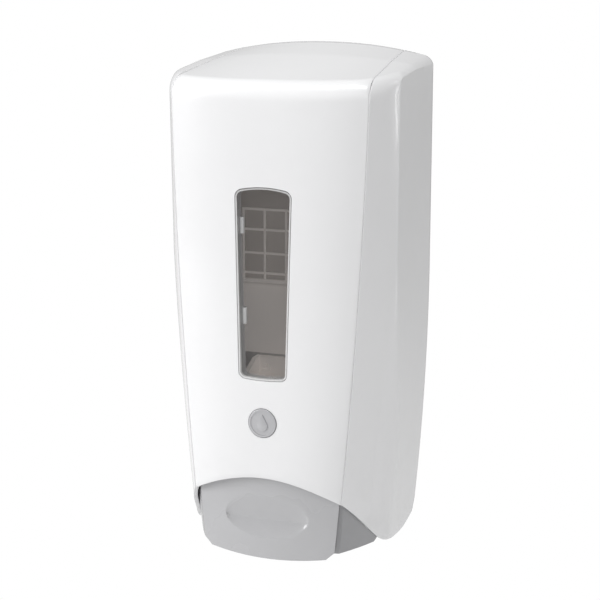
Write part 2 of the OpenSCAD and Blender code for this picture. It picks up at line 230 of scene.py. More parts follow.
def ground_steel(name, tint, rough, stretch, plated=False):
    """Drawn or plated steel: fine lines along the stretch and tarnish in patches."""
    fin = Finish(name)
    lines = fin.noise(500.0, 3.0, 0.6, stretch)
    patch = fin.steps(fin.noise(90.0, 5.0), 0.35, 0.7)
    dull = tuple(c * (0.78 if plated else 0.86) for c in tint)
    body = fin.blend(patch, tint, dull)
    worn = fin.edges(0.0004)
    fin.set(Base_Color=fin.blend(worn * 0.5, body, tuple(min(1.0, c * 1.2) for c in tint)))
    fin.set(Metallic=1.0, Roughness=lines * 0.16 + patch * 0.08 + rough)
    fin.relief(lines, 0.12, 0.0001)
    return fin.material


def smoky_sheet(name, tint, cover):
    """Smoky clear sheet with flow lines; its thick rim is painted dark grey further in as shade
    and near white at its front edge as a highlight.
    """
    fin = Finish(name)
    flow = fin.noise(30.0, 3.0, 0.5, (1.0, 1.0, 0.25))
    rim = fin.steps(fin.depth(), -0.0992, -0.1000)
    # Painted highlight: the front edge of the rim is painted near white
    painted_highlight = fin.steps(fin.depth(), -0.1056, -0.1064)
    sheet = fin.blend(flow, tint, tuple(c * 0.85 for c in tint))
    # The rim wall's colour is painted light: dark grey as shade further in, near white as a
    # highlight at the front
    wall = fin.blend(painted_highlight, (0.42, 0.42, 0.42), (0.97, 0.97, 0.97))
    fin.set(Base_Color=fin.blend(rim, sheet, wall))
    fin.set(Alpha=flow * 0.06 + cover + rim * 0.5)
    fin.set(Roughness=fin.noise(60.0, 4.0) * 0.06 + 0.05, IOR=1.5)
    fin.relief(flow, 0.04, 0.0002)
    return fin.material


def ribbed_panel(name, face, cell_shade):
    """Inner panel painted as lit: pale rib fronts and lower half, painted shade in the cells
    between the ribs, and a faint painted glow.
    """
    fin = Finish(name)
    # Painted light: the lower half and the rib fronts are made paler, as if lit
    low = fin.steps(fin.height(), -0.002, -0.006)
    front = fin.steps(fin.depth(), -0.0070, -0.0078)
    lit = (low + front).clamp() * (fin.noise(30.0, 4.0) * 0.3 + 0.85)
    # Painted shade darkens the cells between the ribs
    tone = fin.blend(lit.clamp(), cell_shade, face)
    # The faint emission is a painted glow that stands in for light
    fin.set(Base_Color=tone, Emission_Color=tone, Emission_Strength=0.1)
    fin.set(Roughness=fin.noise(50.0, 3.0) * 0.12 + 0.45)
    fin.relief(fin.noise(800.0, 2.0), 0.25, 0.00025)
    return fin.material


_made = {}


def cover_white():
    """The gloss white that the three shell panels share."""
    if "cover" not in _made:
        tint = tuple(settings().cover_tint)
        shade = tuple(c * 0.975 for c in tint)
        _made["cover"] = gloss_plastic("cover_white", tint, shade, 0.2, 0.0006, 0.25)
    return _made["cover"]


# --- Shape of the shell, in millimetres -----------------------------------------------

HALF_WIDTH = 74.0
TOP_Z = 158.0
FRONT_DEPTH = 107.7
# The shell's back edge, just off the wall
BACK_Y = -0.6
# How far the seam lies behind the middle of the front, and its half width at the back
SEAM_SIDE = 8.0
SEAM_BACK = 55.0
# How far out the top of the side panels reaches at the back
SIDE_BACK = 66.0
# Corner face between the seam and the flat side: depth and outward bow
CORNER_DEPTH = 33.0
CORNER_BOW = 1.4
# Below this height the ridge moves back
RIDGE_TURN_Z = 31.0
# Rounded top edge: radius at the brow and at the sides, angle, and level where it starts
BROW_RADIUS = 13.0
SIDE_RADIUS = 8.0
EDGE_TURN = math.radians(78)
EDGE_LEVEL = 128.0
# Sharpness of the line along the top of each flat side
CREASE = 1.3


def mix(a, b, t):
    """The number at the share t of the way from a to b."""
    return a + (b - a) * t


def back_half(z):
    """Half width at the wall, drawn in a little towards the bottom."""
    return HALF_WIDTH - ((20 - z) ** 2 / 3520 if z < 20 else 0.0)


def seam_half(z):
    """Half width of the front panel at its seam."""
    return 58.2 + 0.0567 * (z - 11) - 0.00013 * (z - 11) ** 2


def front_y(z):
    """Middle of the front face, which leans back towards the top."""
    return -FRONT_DEPTH + 0.0175 * z


def ridge_y(z):
    """Ridge between the corner face and the flat side."""
    return front_y(z) + CORNER_DEPTH + 0.082 * max(0.0, RIDGE_TURN_Z - z)


def top_at(x, y):
    """Top surface, with a faint crease across it some way in front of the wall."""
    deep = abs(y)
    near = 1 - deep / 95
    crease = 0.9 * min(deep / 38, (95 - deep) / 57)
    return TOP_Z - 18.5 * deep / 95 - 9.2 * (abs(x) / 74) ** 2.2 * near + max(0.0, crease)


def front_point(z, u):
    """Front face at height z, where u runs from 0 at the middle to 1 at the seam."""
    return (seam_half(z) * u, front_y(z) + SEAM_SIDE * u ** 3)


def corner_bow(k):
    """How far the corner face bows outwards at the share k of its way to the ridge."""
    return 4 * CORNER_BOW * k * (1 - k) * (1 - 0.3 * k)


def side_point(z, t):
    """Corner face and flat side at height z, where t runs from the seam to the wall."""
    seam = Vector((seam_half(z), front_y(z) + SEAM_SIDE))
    ridge = Vector((back_half(z), ridge_y(z)))
    wall = Vector((back_half(z), BACK_Y))
    lead = (ridge - seam).normalized()
    soft = 1.2 + 14.0 * min(1.0, max(0.0, RIDGE_TURN_Z - z) / 120)
    before = ridge - lead * soft
    after = ridge + Vector((0, 1)) * soft
    turn_a, turn_b = 0.50, 0.60
    if t < turn_a:
        k = t / turn_a
        p = seam.lerp(before, k)
        out = Vector((lead.y, -lead.x)) * corner_bow(k)
        return (p.x + out.x, p.y + out.y)
    if t < turn_b:
        k = (t - turn_a) / (turn_b - turn_a)
        p = before * (1 - k) ** 2 + ridge * 2 * k * (1 - k) + after * k * k
        return (p.x, p.y)
    p = after.lerp(wall, (t - turn_b) / (1 - turn_b))
    return (p.x, p.y)


def set_in(x, y):
    """How far a point of the level outline's inside lies from that outline."""
    x = abs(x)
    seam = Vector((seam_half(EDGE_LEVEL), front_y(EDGE_LEVEL) + SEAM_SIDE))
    ridge = Vector((HALF_WIDTH, ridge_y(EDGE_LEVEL)))
    u = x / seam.x
    slope = 3 * SEAM_SIDE * min(u, 1.1) ** 2 / seam.x
    front = (y - front_y(EDGE_LEVEL) - SEAM_SIDE * u ** 3) / math.sqrt(1 + slope * slope)
    lead = (ridge - seam).normalized()
    k = (Vector((x, y)) - seam).dot(lead) / (ridge - seam).length
    bow = corner_bow(k) if 0 < k < 1 else 0.0
    corner = (y - seam.y) * lead.x - (x - seam.x) * lead.y + bow
    side = HALF_WIDTH - x + CREASE * min(1.0, 0.3 + abs(y) / 60)
    low = front
    for other in (corner, side):
        near = max(0.0001, min(4.0, 0.8 * max(0.0, min(low, other))))
        touch = max(0.0, 1 - abs(low - other) / near)
        low = min(low, other) - touch * touch * near / 4
    return max(0.0, low)


def skin_z(x, y):
    """Height of the shell's top, rounded down to its walls."""
    radius = mix(BROW_RADIUS, SIDE_RADIUS, min(1.0, max(0.0, (y + 95) / 27)))
    reach = radius * (1 - math.cos(EDGE_TURN))
    inside = set_in(x, y)
    if inside >= reach:
        return top_at(x, y)
    turn = math.acos(1 - inside / radius)
    drop = radius * (math.sin(EDGE_TURN) - math.sin(turn))
    return top_at(x, y) - drop + (reach - inside) / math.tan(EDGE_TURN)


def crown(start, end, s):
    """Point of the shell's top on the way from its edge to the wall, s from 0 to 1."""
    x, y = mix(start[0], end[0], s * s), mix(start[1], end[1], s * s)
    return (x, y, skin_z(x, y))


def arch_z(x):
    """Lower edge of the front panel, arched over the lever."""
    return -103.9 - 14.1 * (abs(x) / 48.6) ** 2


LOBE_EDGE = [
    (-101.5, -118.0), (-71.0, -146.2), (-68.0, -148.8), (-64.5, -151.2), (-59.0, -153.3),
    (-48.0, -155.6), (-34.0, -156.9), (-22.0, -156.9), (-14.0, -155.2), (-8.0, -153.7),
    (-4.4, -152.7), (-1.8, -150.0), (-0.8, -146.5), (-0.6, -144.0), (0.0, -143.0),
]


def lobe_z(y):
    """Lower edge of a side panel at the distance y from the wall."""
    for (y0, z0), (y1, z1) in zip(LOBE_EDGE, LOBE_EDGE[1:]):
        if y <= y1:
            return mix(z0, z1, max(0.0, (y - y0) / (y1 - y0)))
    return LOBE_EDGE[-1][1]


# --- Modelling toolkit ----------------------------------------------------------------


def deselect():
    """Leaves edit mode and selects nothing."""
    if bpy.context.object and bpy.context.object.mode != "OBJECT":
        bpy.ops.object.mode_set(mode="OBJECT")
    bpy.ops.object.select_all(action="DESELECT")


def choose(obj):
    """Makes obj the only selected and active object."""
    deselect()
    obj.select_set(True)
    bpy.context.view_layer.objects.active = obj


def named(obj, name):
    """Gives an object and its mesh one name."""
    obj.name = name
    obj.data.name = name
    return obj


def settle(obj):
    """Puts the object's place into its mesh."""
    choose(obj)
    bpy.ops.object.transform_apply(location=True, rotation=True, scale=True)
    return obj


def sheet_grid(name, columns, rows, point):
    """A primitive grid whose vertices are laid over a surface: point(i, j) in millimetres."""
    deselect()
    bpy.ops.mesh.primitive_grid_add(x_subdivisions=columns, y_subdivisions=rows, size=2)
    obj = named(bpy.context.object, name)
    for v in obj.data.vertices:
        i = round((v.co.x + 1) / 2 * columns)
        j = round((v.co.y + 1) / 2 * rows)
        v.co = Vector(point(i, j)) * MM
    return obj


def clean(obj):
    """Merges doubles and turns all faces outwards."""
    choose(obj)
    bpy.ops.object.mode_set(mode="EDIT")
    bpy.ops.mesh.select_all(action="SELECT")
    bpy.ops.mesh.remove_doubles(threshold=MERGE_GAP)
    bpy.ops.mesh.normals_make_consistent(inside=False)
    bpy.ops.object.mode_set(mode="OBJECT")
    return obj


def modify(obj, kind, **values):
    """Adds one modifier and applies it."""
    choose(obj)
    mod = obj.modifiers.new(kind.title(), kind)
    for key, value in values.items():
        setattr(mod, key, value)
    bpy.ops.object.modifier_apply(modifier=mod.name)
    return obj


def combine(obj, tool, operation):
    """Boolean with another object, which is removed afterwards."""
    modify(obj, "BOOLEAN", object=tool, operation=operation, solver="EXACT")
    bpy.data.objects.remove(tool, do_unlink=True)
    return obj


def soften(obj, width, segments=2, angle=40):
    """Rounds the edges sharper than an angle in degrees, by a width in millimetres."""
    return modify(
        obj,
        "BEVEL",
        width=width * MM,
        segments=segments,
        limit_method="ANGLE",
        angle_limit=math.radians(angle),
    )


def smooth(obj, angle=32):
    """Smooth shading, except across edges sharper than an angle in degrees."""
    choose(obj)
    bpy.ops.object.shade_smooth_by_angle(angle=math.radians(angle))
    return obj


def profile_bar(name, outline, low, high, axis):
    """A flat outline in millimetres, drawn out along one axis from low to high."""
    deselect()
    bpy.ops.mesh.primitive_circle_add(vertices=len(outline), radius=1, fill_type="NGON")
    obj = named(bpy.context.object, name)
    order = {"X": (2, 0, 1), "Y": (0, 2, 1), "Z": (0, 1, 2)}[axis]
    for v, (p, q) in zip(obj.data.vertices, outline):
        full = (p, q, low)
        v.co = Vector([full[k] for k in order]) * MM
    choose(obj)
    bpy.ops.object.mode_set(mode="EDIT")
    bpy.ops.mesh.select_all(action="SELECT")
    along = Vector([(0, 0, high - low)[k] for k in order]) * MM
    bpy.ops.mesh.extrude_region_move(TRANSFORM_OT_translate={"value": along})
    bpy.ops.mesh.select_all(action="SELECT")
    bpy.ops.mesh.normals_make_consistent(inside=False)
    bpy.ops.object.mode_set(mode="OBJECT")
    return obj


def round_bar(name, radius, start, end, sides=40):
    """A cylinder between two points, in millimetres."""
    a, b = Vector(start) * MM, Vector(end) * MM
    deselect()
    bpy.ops.mesh.primitive_cylinder_add(
        vertices=sides, radius=radius * MM, depth=(b - a).length, location=(a + b) / 2,
        rotation=(b - a).to_track_quat("Z", "Y").to_euler(),
    )
    return settle(named(bpy.context.object, name))


def block(name, low, high):
    """A box between two corners, in millimetres."""
    a, b = Vector(low) * MM, Vector(high) * MM
    deselect()
    bpy.ops.mesh.primitive_cube_add(size=1, location=(a + b) / 2, scale=b - a)
    return settle(named(bpy.context.object, name))


def fuse(name, parts):
    """Several closed objects joined by boolean unions."""
    first = parts[0]
    for other in parts[1:]:
        combine(first, other, "UNION")
    return named(first, name)


def arc_corners(corners, radius, steps):
    """An outline whose corners are rounded, each in a number of steps."""
    out = []
    count = len(corners)
    for i in range(count):
        p, q, s = (Vector(corners[(i + k) % count]) for k in (-1, 0, 1))
        u, v = (p - q).normalized(), (s - q).normalized()
        half = math.acos(max(-1.0, min(1.0, u.dot(v)))) / 2
        cut = radius / math.tan(half)
        centre = q + (u + v).normalized() * radius / math.sin(half)
        a, b = q + u * cut - centre, q + v * cut - centre
        for k in range(steps + 1):
            d = a.lerp(b, k / steps).normalized() * radius
            out.append((centre.x + d.x, centre.y + d.y))
    return out


def dress(node, material, width, segments=2):
    """A copy of a CAD node with merged vertices and softened edges, in its place."""
    source = frame["nodes"][node]
    mesh = source.data.copy()
    obj = bpy.data.objects.new(node + "_finished", mesh)
    bpy.context.scene.collection.objects.link(obj)
    choose(obj)
    bpy.ops.object.mode_set(mode="EDIT")
    bpy.ops.mesh.select_all(action="SELECT")
    bpy.ops.mesh.remove_doubles(threshold=0.00001)
    bpy.ops.mesh.dissolve_limited(angle_limit=math.radians(1))
    bpy.ops.object.mode_set(mode="OBJECT")
    soften(obj, width, segments, 30)
    modify(obj, "TRIANGULATE")
    smooth(obj, 30)
    modify(obj, "WEIGHTED_NORMAL", keep_sharp=True)
    return place(obj, material, node)


def place(obj, material, *nodes):
    """Gives a finished piece its material, hides the CAD nodes it replaces and attaches it to
    their body.
    """
    obj.data.materials.clear()
    obj.data.materials.append(material)
    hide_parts(*nodes)
    owner = next(b for b, ns in frame["record"]["behaviour"]["bodies"].items() if nodes[0] in ns)
    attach(obj, owner)
    return obj


def settings():
    """The sizes and colours of this scene."""
    return bpy.context.scene.dispenser


# --- Sizes and colours a user may change ----------------------------------------------


class DispenserSettings(bpy.types.PropertyGroup):
    cover_tint: FloatVectorProperty(
        name="Cover", description="Colour of the cover", subtype="COLOR",
        size=3, min=0, max=1, default=(0.86, 0.86, 0.868),
    )
    lever_tint: FloatVectorProperty(
        name="Lever", description="Colour of the push lever", subtype="COLOR",
        size=3, min=0, max=1, default=(0.50, 0.50, 0.512),
    )
    lens_tint: FloatVectorProperty(
        name="Window", description="Colour of the smoky window sheet", subtype="COLOR",
        size=3, min=0, max=1, default=(0.27, 0.245, 0.23),
    )
    wall: FloatProperty(
        name="Wall", description="Wall thickness of the shell", default=0.0026,
        min=0.002, max=0.003, unit="LENGTH",
    )
    seam: FloatProperty(
        name="Seam", description="Gap between front and side panels", default=0.0004,
        min=0.0002, max=0.001, unit="LENGTH",
    )
    dimple: FloatProperty(
        name="Dimple", description="Depth of the thumb dimple in the lever", default=0.0034,
        min=0.001, max=0.004, unit="LENGTH",
    )


# Middle of the badge
BADGE_Z = -68.6
# Screws that hold the front panel, and (y, z, outer end) of those that hold a side panel
FRONT_SCREW_X = (-38, 38)
FRONT_SCREW_Z = (98, -66)
SIDE_SCREWS = ((-89, 111, 63.4), (-74, -88, 64.0))
BOSS_RADIUS = 4.2
SCREW_BORE = 1.55


# --- Window outline -------------------------------------------------------------------

# Half widths at the two ends, and the heights of the ends without their bow
WINDOW_TOP, WINDOW_BOTTOM = 18.4, 15.8
WINDOW_LOW, WINDOW_HIGH = -41.2, 73.9
WINDOW_CORNER = 4.0
# How far the two ends bow outwards
TOP_BOW, BOTTOM_BOW = 2.4, -1.0
# Lower end and length of the taper along the sides
TAPER_LOW, TAPER_LENGTH = -42, 116.6
# Middles of the two clips
CLIP_HEIGHTS = (52, -4)


def window_outline(grow):
    """The window seen from the front: a tall taper with bowed ends and round corners."""
    steps = 7
    corners = [
        (-WINDOW_BOTTOM - grow, WINDOW_LOW - grow), (WINDOW_BOTTOM + grow, WINDOW_LOW - grow),
        (WINDOW_TOP + grow, WINDOW_HIGH + grow), (-WINDOW_TOP - grow, WINDOW_HIGH + grow),
    ]
    outline = arc_corners(corners, WINDOW_CORNER + max(grow, -2), steps)
    count = steps + 1
    left, right = outline[count - 1][0], outline[count][0]
    bottom = [(mix(left, right, k / 10), WINDOW_LOW - grow) for k in range(1, 10)]
    left, right = outline[3 * count - 1][0], outline[3 * count][0]
    top = [(mix(left, right, k / 10), WINDOW_HIGH + grow) for k in range(1, 10)]
    outline = outline[:count] + bottom + outline[count:3 * count] + top + outline[3 * count:]
    bowed = []
    for x, z in outline:
        half = (WINDOW_TOP if z > 0 else WINDOW_BOTTOM) + grow
        end_bow = TOP_BOW if z > 60 else BOTTOM_BOW if z < -30 else 0.0
        bowed.append((x, z + end_bow * max(0.0, 1 - (x / half) ** 2)))
    return bowed


def window_edge(z):
    """The window's left edge at a height."""
    return -mix(WINDOW_BOTTOM, WINDOW_TOP, (z - TAPER_LOW) / TAPER_LENGTH)


# --- Pieces ---------------------------------------------------------------------------


class DISPENSER_OT_front_panel(bpy.types.Operator):
    """Front panel: bowed front, brow, top, arch and deep window rim"""

    bl_idname = "dispenser.front_panel"
    bl_label = "Front panel"

    def execute(self, context):
        half_gap = settings().seam / MM / 2
        wall_rows, top_rows, columns = 64, 44, 72

        def shape(z, u):
            x, y = front_point(z, abs(u))
            return (x if u >= 0 else -x, y)

        def point(i, j):
            u = 2 * i / columns - 1
            side = 1 if u >= 0 else -1
            u = abs(u)
            trim = half_gap * u ** 6
            start = front_point(EDGE_LEVEL, u)
            if j > wall_rows:
                x, y, z = crown(start, (SEAM_BACK * u, BACK_Y), (j - wall_rows) / top_rows)
                return (side * (x - trim), y, z)
            low = -110.0
            for _ in range(12):
                low = arch_z(front_point(low, u)[0])
            z = mix(low, skin_z(*start), j / wall_rows)
            x, y = front_point(min(z, EDGE_LEVEL), u)
            return (side * (x - trim), y, z)

        panel = sheet_grid("front_panel_shell", columns, wall_rows + top_rows, point)
        clean(panel)
        modify(panel, "SOLIDIFY", thickness=settings().wall, offset=-1)
        clean(panel)
        soften(panel, 0.4, 2, 50)

        rim = profile_bar("rim", window_outline(1.7), -118, -99, "Y")
        skin = sheet_grid(
            "skin", 24, 40,
            lambda i, j: (
                *shape(mix(-60, 95, j / 40), mix(-0.5, 0.5, i / 24)), mix(-60, 95, j / 40)
            ),
        )
        clean(skin)
        modify(skin, "SOLIDIFY", thickness=0.012, offset=-1)
        choose(skin)
        bpy.ops.transform.translate(value=(0, 0.0003, 0))
        settle(skin)
        clean(skin)
        combine(rim, skin, "INTERSECT")
        combine(panel, rim, "UNION")
        combine(panel, profile_bar("hole", window_outline(0), -125, -90, "Y"), "DIFFERENCE")
        for x in FRONT_SCREW_X:
            for z in FRONT_SCREW_Z:
                boss = round_bar("boss", BOSS_RADIUS, (x, -102.6, z), (x, -99.2, z))
                combine(panel, boss, "UNION")
                bore = round_bar("bore", SCREW_BORE, (x, -102.3, z), (x, -96, z), 24)
                combine(panel, bore, "DIFFERENCE")
        keeper = block("keeper", (-12, -7.6, 139), (12, -5.0, 154.6))
        combine(panel, keeper, "UNION")
        seat_end = (0, front_y(BADGE_Z) + 1.3, BADGE_Z)
        seat = round_bar("seat", 9.3, (0, -120, BADGE_Z), seat_end, 96)
        combine(panel, seat, "DIFFERENCE")
        smooth(panel, 30)
        place(panel, cover_white(), "front_panel")
        return {"FINISHED"}


class DISPENSER_OT_side_panels(bpy.types.Operator):
    """Left and right side panels with the lobes at their lower ends"""

    bl_idname = "dispenser.side_panels"
    bl_label = "Side panels"

    def execute(self, context):
        half_gap = settings().seam / MM / 2
        wall_rows, top_rows, columns = 70, 44, 64

        def point(i, j, side):
            t = i / columns
            trim = half_gap * (1 - t) ** 8
            start = side_point(EDGE_LEVEL, t)
            if j > wall_rows:
                end = (mix(SEAM_BACK, SIDE_BACK, t), BACK_Y)
                x, y, z = crown(start, end, (j - wall_rows) / top_rows)
                return (side * (x + trim), y, z)
            low = -130.0
            for _ in range(30):
                low = mix(low, lobe_z(side_point(low, t)[1]), 0.7)
            z = mix(low, skin_z(*start), j / wall_rows)
            x, y = side_point(min(z, EDGE_LEVEL), t)
            return (side * (x + trim), y, z)

        for side, node in ((-1, "left_side_panel"), (1, "right_side_panel")):
            panel = sheet_grid(
                node + "_shell", columns, wall_rows + top_rows,
                lambda i, j: point(i, j, side),
            )
            clean(panel)
            modify(panel, "SOLIDIFY", thickness=settings().wall, offset=-1)
            clean(panel)
            soften(panel, 0.4, 2, 50)
            for y, z, reach in SIDE_SCREWS:
                boss = round_bar("boss", BOSS_RADIUS, (side * 55.3, y, z), (side * reach, y, z))
                combine(panel, boss, "UNION")
                bore = round_bar("bore", SCREW_BORE, (side * 54, y, z), (side * 61, y, z), 24)
                combine(panel, bore, "DIFFERENCE")
            smooth(panel, 26)
            place(panel, cover_white(), node)
        return {"FINISHED"}


class DISPENSER_OT_window(bpy.types.Operator):
    """Smoky window sheet and the frame that holds it"""

    bl_idname = "dispenser.window"
    bl_label = "Window"

    def execute(self, context):
        lens = profile_bar("window_sheet", window_outline(1.5), -98.8, -97.2, "Y")
        rim = profile_bar("rim", window_outline(-0.45), -118, -98.4, "Y")
        combine(rim, profile_bar("hole", window_outline(-1.3), -119, -98, "Y"), "DIFFERENCE")
        front = sheet_grid(
            "front", 8, 24,
            lambda i, j: (
                mix(-24, 24, i / 8), front_y(mix(-50, 90, j / 24)) + 0.25, mix(-50, 90, j / 24)
            ),
        )
        clean(front)
        modify(front, "SOLIDIFY", thickness=0.016, offset=-1)
        clean(front)
        combine(rim, front, "INTERSECT")
        combine(lens, rim, "UNION")
        for z in CLIP_HEIGHTS:
            edge = window_edge(z)
            notch = block("notch", (edge - 4, -101.8, z - 5.4), (edge + 1.5, -95, z + 5.4))
            combine(lens, notch, "DIFFERENCE")
        smooth(lens)
        smoky = smoky_sheet("smoky_window", tuple(settings().lens_tint), 0.08)
        place(lens, smoky, "window_lens")

        frame_piece = profile_bar("window_frame", window_outline(4), -97, -95, "Y")
        combine(frame_piece, profile_bar("hole", window_outline(0.6), -99, -90, "Y"), "DIFFERENCE")
        for z in CLIP_HEIGHTS:
            edge = window_edge(z)
            stem = block("stem", (edge - 1.2, -101.4, z - 5), (edge + 1.3, -95.6, z + 5))
            hook = block("hook", (edge + 0.2, -101.4, z - 5), (edge + 3.0, -99.1, z + 5))
            combine(frame_piece, fuse("clip", [stem, hook]), "UNION")
        soften(frame_piece, 0.25, 2, 50)
        smooth(frame_piece)
        white = matt_plastic("frame_white", (0.78, 0.78, 0.78), (0.72, 0.72, 0.72), 0.35)
        place(frame_piece, white, "window_retainer")
        return {"FINISHED"}


class DISPENSER_OT_badge(bpy.types.Operator):
    """Round badge with a raised drop"""

    bl_idname = "dispenser.badge"
    bl_label = "Badge"

    def execute(self, context):
        z = BADGE_Z
        face = front_y(z)
        disc = round_bar("badge_disc", 9.0, (0, face - 0.5, z), (0, face + 1.2, z), 96)
        soften(disc, 0.3, 3, 60)
        well = round_bar("well", 7.7, (0, face - 1.2, z), (0, face - 0.15, z), 96)
        combine(disc, well, "DIFFERENCE")
        drop = [(3.4 * math.sin(a), z - 1.7 - 3.4 * math.cos(a))
                for a in (math.radians(k) for k in range(-120, 121, 10))]
        drop.append((0, z + 5.6))
        mark = profile_bar("drop", drop, face - 0.75, face + 0.4, "Y")
        soften(mark, 0.2, 2, 50)
        combine(disc, mark, "UNION")
        smooth(disc)
        fin = Finish("badge_satin")
        grain = fin.noise(700.0, 2.0)
        fin.set(Base_Color=fin.blend(fin.noise(60.0), (0.55, 0.55, 0.565), (0.47, 0.47, 0.485)))
        fin.set(Roughness=grain * 0.15 + 0.24, Metallic=0.35)
        fin.relief(grain, 0.12, 0.0001)
        place(disc, fin.material, "badge_plate")
        return {"FINISHED"}


# Front of the lever plate and the radius of its bow
LEVER_FRONT = -104.5
LEVER_BOW = 182.0
# Thumb dimple: half sizes, and the heights of its middle and of its crease
DIMPLE_HALF_X = 27.5
DIMPLE_HALF_Z = 14.2
DIMPLE_Z = -130.6
DIMPLE_CREASE = -133.2


def lever_half(z):
    """Half width of the lever plate at a height, with its lower corners cut off."""
    if z > -120:
        return mix(46.4, 44.0, (z + 120) / 24)
    if z > -150.5:
        return mix(46.4, 43.7, (-120 - z) / 30.5)
    return mix(43.7, 38.6, min(1.0, (-150.5 - z) / 4.6))


def lever_foot(x):
    """Lower edge of the lever plate."""
    return -158.0 + 3.4 * (abs(x) / 43) ** 2


def dimple_depth(x, z, deep):
    """Oval hollow that slopes in from above and below to a level crease."""
    if abs(x) >= DIMPLE_HALF_X:
        return 0.0
    reach = math.sqrt(1 - (x / DIMPLE_HALF_X) ** 2)
    if z > DIMPLE_CREASE:
        s = (z - DIMPLE_CREASE) / (DIMPLE_Z + DIMPLE_HALF_Z * reach - DIMPLE_CREASE)
    else:
        s = (DIMPLE_CREASE - z) / (DIMPLE_CREASE - DIMPLE_Z + DIMPLE_HALF_Z * reach)
    return deep * reach ** 0.85 * (1 - s) ** 1.05 if 0 <= s < 1 else 0.0


class DISPENSER_OT_push_lever(bpy.types.Operator):
    """Push lever plate with its thumb dimple"""

    bl_idname = "dispenser.push_lever"
    bl_label = "Push lever"

    def execute(self, context):
        deep = settings().dimple / MM
        columns, rows = 128, 92

        def face(x):
            return LEVER_FRONT + LEVER_BOW - math.sqrt(LEVER_BOW * LEVER_BOW - x * x)

        def point(i, j):
            u = 2 * i / columns - 1
            x = 46.0 * u
            for _ in range(4):
                z = mix(lever_foot(x), -96.0, j / rows)
                x = u * lever_half(z)
            y = face(x) + dimple_depth(x, z, deep)
            return (x, y, z)

        plate = sheet_grid("push_lever_plate", columns, rows, point)
        clean(plate)
        modify(plate, "SOLIDIFY", thickness=0.003, offset=-1)
        clean(plate)
        soften(plate, 1.1, 4, 60)
        for x in (-37, 37):
            bore = round_bar("bore", SCREW_BORE, (x, -99.9, -101.5), (x, -94, -101.5), 24)
            combine(plate, bore, "DIFFERENCE")
        smooth(plate, 35)
        tint = tuple(settings().lever_tint)
        shade = tuple(c * 0.94 for c in tint)
        place(plate, gloss_plastic("lever_grey", tint, shade, 0.26), "push_lever")
        return {"FINISHED"}


class DISPENSER_OT_lever_core(bpy.types.Operator):
    """Darker carrier behind the lever plate and its rollers"""

    bl_idname = "dispenser.lever_core"
    bl_label = "Lever carrier"

    def execute(self, context):
        dark = gloss_plastic("lever_dark", (0.37, 0.37, 0.38), (0.33, 0.33, 0.34), 0.32)
        dress("lever_core", dark, 0.4)
        wax = matt_plastic("roller_acetal", (0.82, 0.81, 0.77), (0.76, 0.75, 0.7), 0.3)
        dress("drive_rollers", wax, 0.4, 3)
        return {"FINISHED"}


class DISPENSER_OT_wall_unit(bpy.types.Operator):
    """Mouldings fixed to the wall, the cover's carrier, the lock and the pump carriage"""

    bl_idname = "dispenser.wall_unit"
    bl_label = "Inner mouldings"

    def execute(self, context):
        grey = matt_plastic("abs_grey", (0.60, 0.60, 0.61), (0.55, 0.55, 0.56), 0.42)
        inner = ribbed_panel("interior_grey", (0.92, 0.88, 0.85), (0.50, 0.47, 0.45))
        pale = matt_plastic("carriage_white", (0.76, 0.76, 0.77), (0.7, 0.7, 0.71), 0.36)
        dark = matt_plastic("lock_grey", (0.16, 0.16, 0.17), (0.12, 0.12, 0.13), 0.4)
        for node in ("back_plate", "rod_bracket", "lock_housing", "cover_frame"):
            dress(node, grey, 0.4)
        dress("refill_backrest", inner, 0.3)
        dress("refill_cradle", inner, 0.4)
        dress("cradle_screws", inner, 0.2)
        dress("pump_carriage", pale, 0.4)
        dress("lock_bolt", dark, 0.4)
        return {"FINISHED"}


class DISPENSER_OT_hardware(bpy.types.Operator):
    """Screws, pins, rods and springs"""

    bl_idname = "dispenser.hardware"
    bl_label = "Hardware"

    def execute(self, context):
        zinc = ground_steel("zinc_plate", (0.62, 0.63, 0.66), 0.26, (1, 1, 1), True)
        steel = ground_steel("ground_steel", (0.66, 0.66, 0.67), 0.18, (0.1, 1, 1))
        rod = ground_steel("rod_steel", (0.68, 0.68, 0.69), 0.16, (1, 1, 0.08))
        wire = ground_steel("spring_wire", (0.5, 0.5, 0.51), 0.24, (1, 1, 1))
        for node in (
            "lock_screws", "front_panel_screws", "side_panel_screws", "lever_screws",
        ):
            dress(node, zinc, 0.2)
        for node in ("cover_hinge_pins", "lever_hinge_pins", "roller_pins"):
            dress(node, steel, 0.25)
        dress("guide_rods", rod, 0.5)
        self.springs(wire)
        return {"FINISHED"}

    def springs(self, wire):
        """Two coil springs on the guide rods, which the carriage presses against the cradle."""
        rod_x, rod_y = 34, -22
        foot, head, travel = -99, -79, 11.8
        coil_radius, wire_radius = 4.9, 0.6
        turns, steps = 5, 36
        coils = []
        for side in (-1, 1):
            deselect()
            curve = bpy.data.curves.new("coil", "CURVE")
            curve.dimensions = "3D"
            line = curve.splines.new("POLY")
            line.points.add(turns * steps)
            for k, p in enumerate(line.points):
                a = 2 * math.pi * k / steps
                x = side * rod_x + coil_radius * math.cos(a)
                y = rod_y + coil_radius * math.sin(a)
                z = mix(foot, head, k / (turns * steps))
                p.co = (*(Vector((x, y, z)) * MM), 1)
            curve.bevel_depth = wire_radius * MM
            curve.bevel_resolution = 3
            curve.use_fill_caps = True
            coil = bpy.data.objects.new("coil", curve)
            bpy.context.scene.collection.objects.link(coil)
            choose(coil)
            bpy.ops.object.convert(target="MESH")
            coils.append(bpy.context.object)
        deselect()
        for coil in coils:
            coil.select_set(True)
        bpy.context.view_layer.objects.active = coils[0]
        bpy.ops.object.join()
        spring = named(bpy.context.object, "carriage_spring_coils")
        clean(spring)
        smooth(spring, 60)
        place(spring, wire, "carriage_springs")
        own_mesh(spring)


# --- Stage ----------------------------------------------------------------------------


